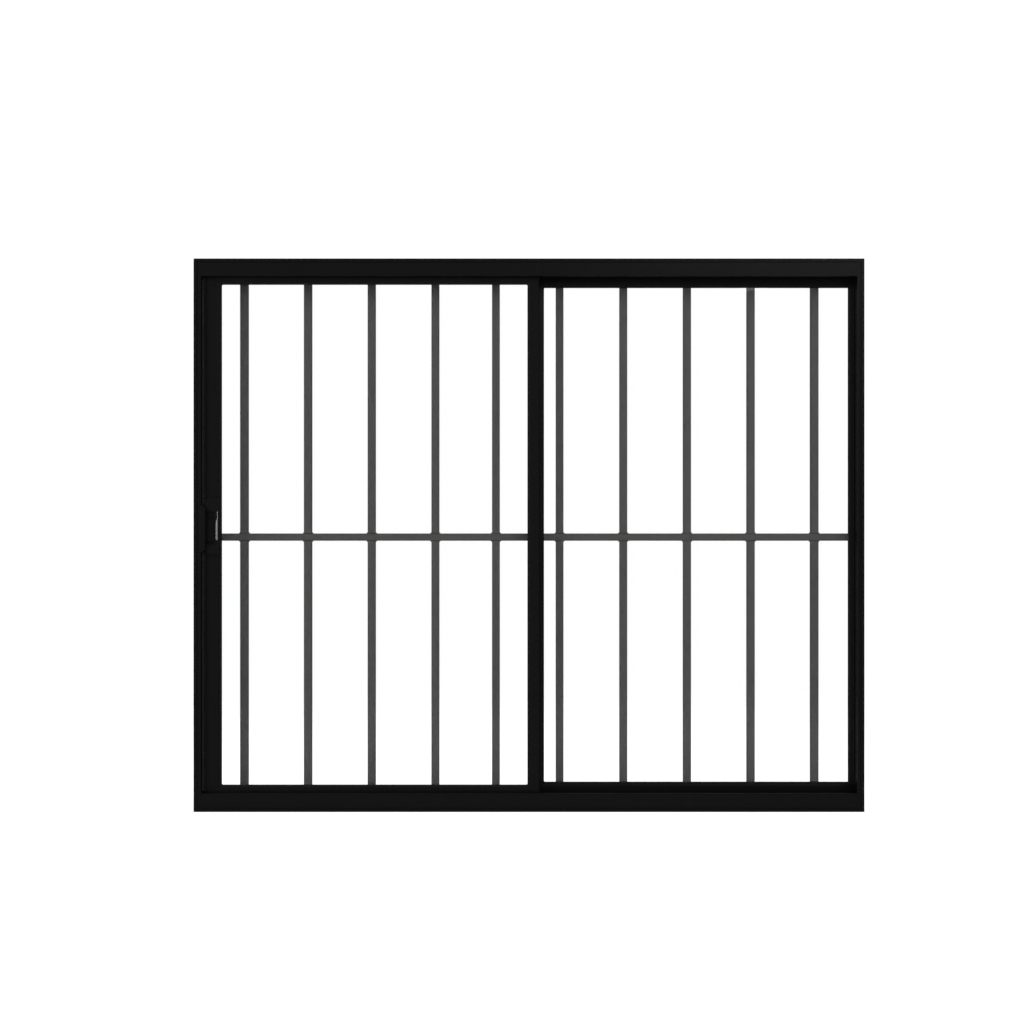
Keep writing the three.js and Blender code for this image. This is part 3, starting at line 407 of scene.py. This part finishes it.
WELD_RIPPLE = 0.0016  # distance between ripples of a bead
RIPPLE_DEPTH = 0.09  # as a share of the bead's radius
WELD_STEPS_PER_RIPPLE = 4
WELD_LEAST_STEPS = 6
WELD_SIDES = 10
END_STEEPNESS = 4  # how fast a bead reaches its full size from its ends
END_SHARE = 0.01  # keeps a bead's ends from shrinking to a point
FILLET_RADIUS = 0.0019
FILLET_INSET = 0.0012
SEAM_RADIUS = 0.0009
SEAM_FLATNESS = 0.3
END_RADIUS = 0.0015
END_SIDE_RADIUS = 0.00105  # where the bar's end lies close to the rail's edge
END_INSET = 0.001
OUTWARD = Vector((0, 1, 0))


def weld_bead(shape, start, end, radius, flatness=1.0, press=None):
    """A rippled bead from start to end. press is the direction that flatness squeezes it in."""
    start, end = Vector(start), Vector(end)
    along = end - start
    length = along.length
    along.normalize()
    across = press.normalized() if press else along.orthogonal().normalized()
    other = along.cross(across)
    steps = max(WELD_LEAST_STEPS, round(length / WELD_RIPPLE * WELD_STEPS_PER_RIPPLE))
    sections = []
    for step in range(steps + 1):
        share = step / steps
        taper = min(1, END_STEEPNESS * math.sqrt(max(END_SHARE, share * (1 - share))))
        ripple = 1 + RIPPLE_DEPTH * math.cos(2 * math.pi * share * length / WELD_RIPPLE)
        size = radius * taper * ripple
        centre = start.lerp(end, share)
        sections.append([
            centre
            + across * (size * flatness * math.cos(2 * math.pi * side / WELD_SIDES))
            + other * (size * math.sin(2 * math.pi * side / WELD_SIDES))
            for side in range(WELD_SIDES)
        ])
    sweep(shape, sections)


def crossing_welds(shape, bar, crossbar):
    """Fillets in the four inner corners of a crossing, and flat beads along its lap seams."""
    (x0, y0, _), (x1, y1, _) = bar
    z0, z1 = crossbar[0].z, crossbar[1].z
    inset = FILLET_INSET
    for x in (x0, x1):
        for z in (z0, z1):
            weld_bead(shape, (x, y0 + inset, z), (x, y1 - inset, z), FILLET_RADIUS)
    for x in (x0, x1):
        start, end = (x, y0, z0 + inset), (x, y0, z1 - inset)
        weld_bead(shape, start, end, SEAM_RADIUS, SEAM_FLATNESS, OUTWARD)
    for z in (z0, z1):
        start, end = (x0 + inset, y1, z), (x1 - inset, y1, z)
        weld_bead(shape, start, end, SEAM_RADIUS, SEAM_FLATNESS, OUTWARD)


def end_welds(shape, bar, z):
    """A bead all round the foot or head of a bar, where it meets its rail."""
    (x0, y0, _), (x1, y1, _) = bar
    inset = END_INSET
    for x in (x0, x1):
        weld_bead(shape, (x, y0 + inset, z), (x, y1 - inset, z), END_RADIUS)
    for y in (y0, y1):
        weld_bead(shape, (x0 + inset, y, z), (x1 - inset, y, z), END_SIDE_RADIUS)


def add_welds():
    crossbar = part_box("security_crossbar")
    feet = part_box("grille_rail_bottom")[1].z
    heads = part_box("grille_rail_top")[0].z
    bars = sorted(name for name in nodes if name.startswith("security_bar_"))
    for name in bars:
        shape = bmesh.new()
        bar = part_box(name)
        crossing_welds(shape, bar, crossbar)
        end_welds(shape, bar, feet)
        end_welds(shape, bar, heads)
        number = name.rsplit("_", 1)[1]
        obj = piece_from(f"weld_{number}", shape, "window_frame", weld_coat)
        obj.data.shade_smooth()


add_welds()

# ------------------------------------------------------------------ sealed mitres

LIP = 0.0032  # thickness of a glazing lip
LIP_BEVEL = (0.0055, 0.002)  # width and drop of the bevel on its room side
LIP_DEPTH = 0.007
SEAL_THICKNESS = 0.0005
SEAL_INSET = 0.00015
MITRE_SHIFT = 0.00021  # from the lips' corner to the middle of the hairline joint
BUTT_GAP = (0.00003, 0.00027)  # the part of the butt joint behind the mitre that the seal fills
BUTT_SEAL_HEIGHT = 0.016


def prism_between(shape, outline, offset):
    """A closed slab: an outline of points and the same outline moved by offset."""
    sweep(shape, [outline, [point + offset for point in outline]])


def mitre_seals(prefix, body, left, right, bottom, top):
    """Sealant in the hairline joints where a light's stiles and rails meet."""
    rail_low, rail_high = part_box(bottom)
    front, back = rail_low.y, rail_high.y
    corners = [
        (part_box(left)[1].x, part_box(bottom)[1].z, -1, -1),
        (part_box(left)[1].x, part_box(top)[0].z, -1, 1),
        (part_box(right)[0].x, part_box(bottom)[1].z, 1, -1),
        (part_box(right)[0].x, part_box(top)[0].z, 1, 1),
    ]
    bevel_width, bevel_drop = LIP_BEVEL
    room_lip = [
        (SEAL_INSET, front + bevel_drop + SEAL_INSET),
        (bevel_width, front + SEAL_INSET),
        (LIP_DEPTH, front + SEAL_INSET),
        (LIP_DEPTH, front + LIP),
        (SEAL_INSET, front + LIP),
    ]
    street_lip = [
        (SEAL_INSET, back - LIP),
        (LIP_DEPTH, back - LIP),
        (LIP_DEPTH, back - SEAL_INSET),
        (SEAL_INSET, back - SEAL_INSET),
    ]
    shape = bmesh.new()
    for x, z, side_x, side_z in corners:
        across = Vector((side_x, 0, -side_z)).normalized() * SEAL_THICKNESS
        shift = Vector((0, 0, -side_z * MITRE_SHIFT))
        for lip in (room_lip, street_lip):
            outline = [Vector((x + side_x * out, y, z + side_z * out)) + shift for out, y in lip]
            prism_between(shape, [point - across / 2 for point in outline], across)
        butt = x + side_x * LIP_DEPTH
        near, far = (butt - side_x * share for share in BUTT_GAP)
        foot = z + side_z * (LIP_DEPTH - SEAL_THICKNESS)
        head = foot + side_z * BUTT_SEAL_HEIGHT
        for y0, y1 in ((front + SEAL_INSET, front + LIP), (back - LIP, back - SEAL_INSET)):
            corner_points = [(near, foot), (far, foot), (far, head), (near, head)]
            outline = [Vector((px, y0, pz)) for px, pz in corner_points]
            prism_between(shape, outline, Vector((0, y1 - y0, 0)))
    piece_from(f"{prefix}_mitre_seals", shape, body, SLOT_MATERIALS["rubber"])


mitre_seals(
    "sash",
    "sliding_sash",
    left="sash_handle_stile",
    right="sash_meeting_stile",
    bottom="sash_bottom_rail",
    top="sash_top_rail",
)
mitre_seals(
    "fixed",
    "window_frame",
    left="fixed_meeting_stile",
    right="fixed_jamb_stile",
    bottom="fixed_bottom_rail",
    top="fixed_top_rail",
)

# ------------------------------------------------------------------ brush seals

TUFT_PITCH = 0.0014
TUFT_ROWS = 3
TUFT_HALF = 0.42 * TUFT_PITCH
TUFT_TAPER = 0.55
ROW_SPACING = 0.26  # as a share of the strip's width
ROOT_SCATTER = 0.1  # as a share of the strip's width
PITCH_SCATTER = 0.2  # as a share of the pitch
LEAN_ALONG = 0.0006
LEAN_ASIDE = 0.0004
TUFT_HEIGHTS = (0.9, 0.99)  # shortest and longest, as a share of the strip's reach
BACKING = 0.0007
FIN_SETBACK = 0.0002  # from the jamb's face to the tips of its fins
INNER_FIN_Y = -0.02475
OUTER_FIN_Y = -0.00925
FIN_BRUSH_WIDTH = 0.0042
RAIL_BRUSH_WIDTH = 0.0052
BRUSH_CLEARANCE = 0.0004
END_CLEARANCE = 0.002  # between the jamb's brushes and the sill and head
KEEPER_CLEARANCE = 0.0005


def brush_strip(name, body, start, end, reach, width, replaces=None):
    """A woven backing from start to end, with rows of tufts that stand up along reach."""
    rng = random.Random(f"{SEED}-{name}")
    start, end, reach = Vector(start), Vector(end), Vector(reach)
    along = (end - start).normalized()
    side = along.cross(reach).normalized()
    height = reach.length
    up = reach.normalized()
    shape = bmesh.new()
    ends = []
    for point in (start, end):
        ends.append([
            point + side * (width / 2),
            point + side * (width / 2) + up * BACKING,
            point - side * (width / 2) + up * BACKING,
            point - side * (width / 2),
        ])
    sweep(shape, ends)
    count = int((end - start).length / TUFT_PITCH)
    for index in range(count):
        for row in range(TUFT_ROWS):
            share = (index + 0.5 + rng.uniform(-PITCH_SCATTER, PITCH_SCATTER)) / count
            offset = (row - (TUFT_ROWS - 1) / 2) * width * ROW_SPACING
            scatter = rng.uniform(-ROOT_SCATTER, ROOT_SCATTER) * width
            root = start.lerp(end, share) + side * (offset + scatter)
            lean = along * rng.uniform(-LEAN_ALONG, LEAN_ALONG)
            lean += side * rng.uniform(-LEAN_ASIDE, LEAN_ASIDE)
            tip = root + up * (height * rng.uniform(*TUFT_HEIGHTS)) + lean
            low = [
                root + along * TUFT_HALF,
                root + side * TUFT_HALF,
                root - along * TUFT_HALF,
                root - side * TUFT_HALF,
            ]
            high = [tip + (point - root) * TUFT_TAPER for point in low]
            sweep(shape, [low, high])
    obj = piece_from(name, shape, body, SLOT_MATERIALS["pile"])
    if replaces:
        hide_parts(replaces)


def add_brushes():
    for name in ("sash_pile_inner", "sash_pile_outer"):
        low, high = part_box(name)
        z = (low.z + high.z) / 2
        from_y, to_y = (low.y, high.y) if name.endswith("inner") else (high.y, low.y)
        start = (low.x, from_y, z)
        end = (high.x, from_y, z)
        reach = (0, to_y - from_y, 0)
        width = RAIL_BRUSH_WIDTH
        brush_strip(f"{name}_brush", "sliding_sash", start, end, reach, width, replaces=name)
    sash_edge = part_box("sash_handle_stile")[0].x
    fin_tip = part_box("frame_jamb_left")[1].x - FIN_SETBACK
    keeper_low, keeper_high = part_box("latch_keeper")
    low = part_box("frame_sill")[1].z + END_CLEARANCE
    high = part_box("frame_head")[0].z - END_CLEARANCE
    reach = (sash_edge - fin_tip - BRUSH_CLEARANCE, 0, 0)
    runs = {
        "jamb_brush_outer": (OUTER_FIN_Y, low, high),
        "jamb_brush_inner_lower": (INNER_FIN_Y, low, keeper_low.z - KEEPER_CLEARANCE),
        "jamb_brush_inner_upper": (INNER_FIN_Y, keeper_high.z + KEEPER_CLEARANCE, high),
    }
    for name, (y, z0, z1) in runs.items():
        start, end = (fin_tip, y, z0), (fin_tip, y, z1)
        brush_strip(name, "window_frame", start, end, reach, FIN_BRUSH_WIDTH)


add_brushes()

# ------------------------------------------------------------------ weep hoods

HOOD_X = {"left": -0.36, "right": 0.36}  # over the sill's drain slots
HOOD_FOOT = 0.0022  # above the sill's underside
HOOD_WIDTH = 0.036
HOOD_HEIGHT = 0.011
HOOD_DEPTH = 0.0045
HOOD_BASE = 0.0012
HOOD_EDGE = 0.0006
HOOD_STEPS = 8


def add_weep_hoods():
    """Moulded hoods over the drain slots, on the sill's outer wall."""
    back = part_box("frame_sill")[1].y
    outline = [(back, HOOD_FOOT)]
    for step in range(HOOD_STEPS + 1):
        angle = math.pi / 2 * step / HOOD_STEPS
        y = back + HOOD_BASE + (HOOD_DEPTH - HOOD_BASE) * math.cos(angle)
        z = HOOD_FOOT + HOOD_HEIGHT * math.sin(angle)
        outline.append((y, z))
    outline.append((back, HOOD_FOOT + HOOD_HEIGHT))
    moulding = SLOT_MATERIALS["nylon"]
    for side, x in HOOD_X.items():
        shape = bmesh.new()
        ends = (x - HOOD_WIDTH / 2, x + HOOD_WIDTH / 2)
        sweep(shape, [[(end, y, z) for y, z in outline] for end in ends])
        hood = piece_from(f"weep_hood_{side}", shape, "window_frame", moulding)
        soften_edges(hood, HOOD_EDGE)


add_weep_hoods()

# ------------------------------------------------------------------ floor, world and lights

FLOOR_RADIUS = 4.0
FLOOR_SIDES = 96
FADE_START = 0.7  # where the floor begins to fade out, measured from the middle
FADE_END = 2.2
FLOOR_LIFT = 0.8  # added for the camera only, so that the floor stays as white as the surround
SURROUND_WHITE = 1.04
SKY_STRENGTH = 0.17
SKY_LOW = 1.2  # the sky's brightness towards the floor, and overhead
SKY_HIGH = 1.6
SKY_LOW_AT = -0.1  # the upward part of the direction where each is reached
SKY_HIGH_AT = 0.9
LIGHT_TARGET = (0, 0, 0.5)  # about the window's middle


def add_floor():
    """A pale floor that fades out into the white surround away from the window."""
    bpy.ops.mesh.primitive_circle_add(
        vertices=FLOOR_SIDES,
        radius=FLOOR_RADIUS,
        fill_type="NGON",
        location=(0, 0, 0),
    )
    floor = bpy.context.object
    floor.name = "floor"
    m = Shading("pale_floor")
    m.set(Specular_IOR_Level=0.2)
    m.drive(
        Base_Color=m.blend(m.noise(30, detail=4), grey(0.88), grey(0.9)),
        Roughness=m.between(m.noise(12, detail=3), 0.6, 0.75),
    )
    lift = m.add("ShaderNodeEmission")
    camera_ray = m.add("ShaderNodeLightPath").outputs["Is Camera Ray"]
    m.link(m.between(camera_ray, 0.0, FLOOR_LIFT, 0.0, 1.0), lift.inputs["Strength"])
    lifted = m.add("ShaderNodeAddShader")
    m.link(m.shader.outputs[0], lifted.inputs[0])
    m.link(lift.outputs[0], lifted.inputs[1])
    clear = m.add("ShaderNodeBsdfTransparent")
    distance = m.add("ShaderNodeVectorMath", operation="LENGTH")
    m.link(m.coordinates, distance.inputs[0])
    fade = m.add("ShaderNodeMapRange", interpolation_type="SMOOTHSTEP")
    fade.inputs["From Min"].default_value = FADE_START
    fade.inputs["From Max"].default_value = FADE_END
    m.link(distance.outputs["Value"], fade.inputs["Value"])
    mix = m.add("ShaderNodeMixShader")
    m.link(fade.outputs["Result"], mix.inputs["Fac"])
    m.link(lifted.outputs[0], mix.inputs[1])
    m.link(clear.outputs[0], mix.inputs[2])
    m.link(mix.outputs[0], m.output.inputs["Surface"])
    dress(floor, m.material)


def add_world():
    """White where the camera looks, and a soft sky, brighter overhead, for the light."""
    world = bpy.data.worlds.new("studio")
    bpy.context.scene.world = world
    world.use_nodes = True
    tree = world.node_tree
    tree.nodes.clear()
    output = tree.nodes.new("ShaderNodeOutputWorld")
    white = tree.nodes.new("ShaderNodeBackground")
    white.inputs["Color"].default_value = (1, 1, 1, 1)
    white.inputs["Strength"].default_value = SURROUND_WHITE
    soft = tree.nodes.new("ShaderNodeBackground")
    soft.inputs["Strength"].default_value = SKY_STRENGTH
    coordinates = tree.nodes.new("ShaderNodeTexCoord")
    split = tree.nodes.new("ShaderNodeSeparateXYZ")
    height = tree.nodes.new("ShaderNodeMapRange")
    height.inputs["From Min"].default_value = SKY_LOW_AT
    height.inputs["From Max"].default_value = SKY_HIGH_AT
    height.inputs["To Min"].default_value = SKY_LOW
    height.inputs["To Max"].default_value = SKY_HIGH
    path = tree.nodes.new("ShaderNodeLightPath")
    mix = tree.nodes.new("ShaderNodeMixShader")
    link = tree.links.new
    link(coordinates.outputs["Generated"], split.inputs[0])
    link(split.outputs["Z"], height.inputs["Value"])
    link(height.outputs["Result"], soft.inputs["Color"])
    link(path.outputs["Is Camera Ray"], mix.inputs["Fac"])
    link(soft.outputs[0], mix.inputs[1])
    link(white.outputs[0], mix.inputs[2])
    link(mix.outputs[0], output.inputs["Surface"])


def add_light(name, location, size, power):
    """A square light that faces the window's middle and isn't seen itself."""
    data = bpy.data.lights.new(name, "AREA")
    data.size = size
    data.energy = power
    light = bpy.data.objects.new(name, data)
    bpy.context.scene.collection.objects.link(light)
    light.location = location
    direction = Vector(LIGHT_TARGET) - Vector(location)
    light.rotation_euler = direction.to_track_quat("-Z", "Y").to_euler()
    light.visible_camera = False
    return light


def add_lights():
    add_light("key", (1.2, -2.0, 2.0), size=1.4, power=18)
    add_light("fill", (-3.0, -2.6, 1.1), size=1.8, power=28)
    add_light("back", (-0.8, 2.4, 3.6), size=2.4, power=22)
    front = add_light("front", (0, -3.8, 0.7), size=3.2, power=46)
    front.visible_glossy = False  # or it would show as a square in the panes


def set_view():
    scene = bpy.context.scene
    scene.view_settings.view_transform = "Standard"
    scene.view_settings.look = "None"


add_floor()
add_world()
add_lights()
set_view()
